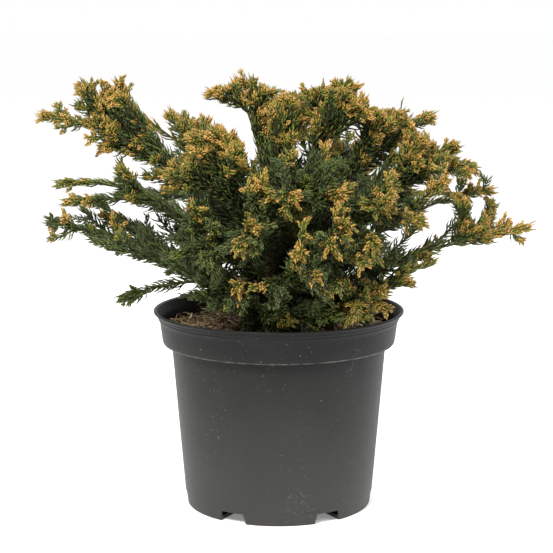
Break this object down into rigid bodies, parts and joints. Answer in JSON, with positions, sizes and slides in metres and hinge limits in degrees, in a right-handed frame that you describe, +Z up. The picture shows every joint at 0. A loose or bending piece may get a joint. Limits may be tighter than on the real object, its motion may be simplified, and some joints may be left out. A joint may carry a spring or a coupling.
{
  "type": "potted dwarf conifer",
  "caption": "Dwarf Japanese cedar in a round tapered nursery pot filled with soil: a short trunk, boughs and dense plumes of golden-tipped needles.",
  "frame": {"origin": "middle of the pot's flat underside", "axes": "+Z up along the pot's axis, -Y towards the front, +X to the right seen from the front"},
  "size_m": [0.3641, 0.2722, 0.3337],
  "materials": {
    "pot": "matte charcoal black, scuffed and dusty",
    "soil": "dark peat under tan shreds of bark and fibre",
    "bark": "rough reddish-brown bark",
    "foliage": "dark green needles with golden-orange tips"
  },
  "bodies": {
    "root": {"pot": "pot", "soil": "soil", "trunk": "bark", "bough_back_high": "bark", "bough_back_left": "bark", "bough_back_low": "bark", "bough_back_mid": "bark", "bough_back_right": "bark", "bough_front_centre": "bark", "bough_front_foot": "bark", "bough_front_high": "bark", "bough_front_left": "bark", "bough_front_left_high": "bark", "bough_front_low": "bark", "bough_front_mid": "bark", "bough_front_right": "bark", "bough_front_rim": "bark", "bough_left_high": "bark", "bough_left_inner": "bark", "bough_left_low": "bark", "bough_left_mid": "bark", "bough_left_under": "bark", "bough_right_bend": "bark", "bough_right_end": "bark", "bough_right_high": "bark", "bough_right_low": "bark", "bough_right_mid": "bark", "bough_right_top": "bark", "bough_top_left": "bark", "bough_top_mid": "bark", "bough_top_right": "bark", "foliage_back_high": "foliage", "foliage_back_left": "foliage", "foliage_back_low": "foliage", "foliage_back_mid": "foliage", "foliage_back_right": "foliage", "foliage_front_centre": "foliage", "foliage_front_foot": "foliage", "foliage_front_high": "foliage", "foliage_front_left": "foliage", "foliage_front_left_high": "foliage", "foliage_front_low": "foliage", "foliage_front_mid": "foliage", "foliage_front_right": "foliage", "foliage_front_rim": "foliage", "foliage_left_high": "foliage", "foliage_left_inner": "foliage", "foliage_left_low": "foliage", "foliage_left_mid": "foliage", "foliage_left_under": "foliage", "foliage_right_bend": "foliage", "foliage_right_end": "foliage", "foliage_right_high": "foliage", "foliage_right_low": "foliage", "foliage_right_mid": "foliage", "foliage_right_top": "foliage", "foliage_top_left": "foliage", "foliage_top_mid": "foliage", "foliage_top_right": "foliage"}
  },
  "joints": []
}
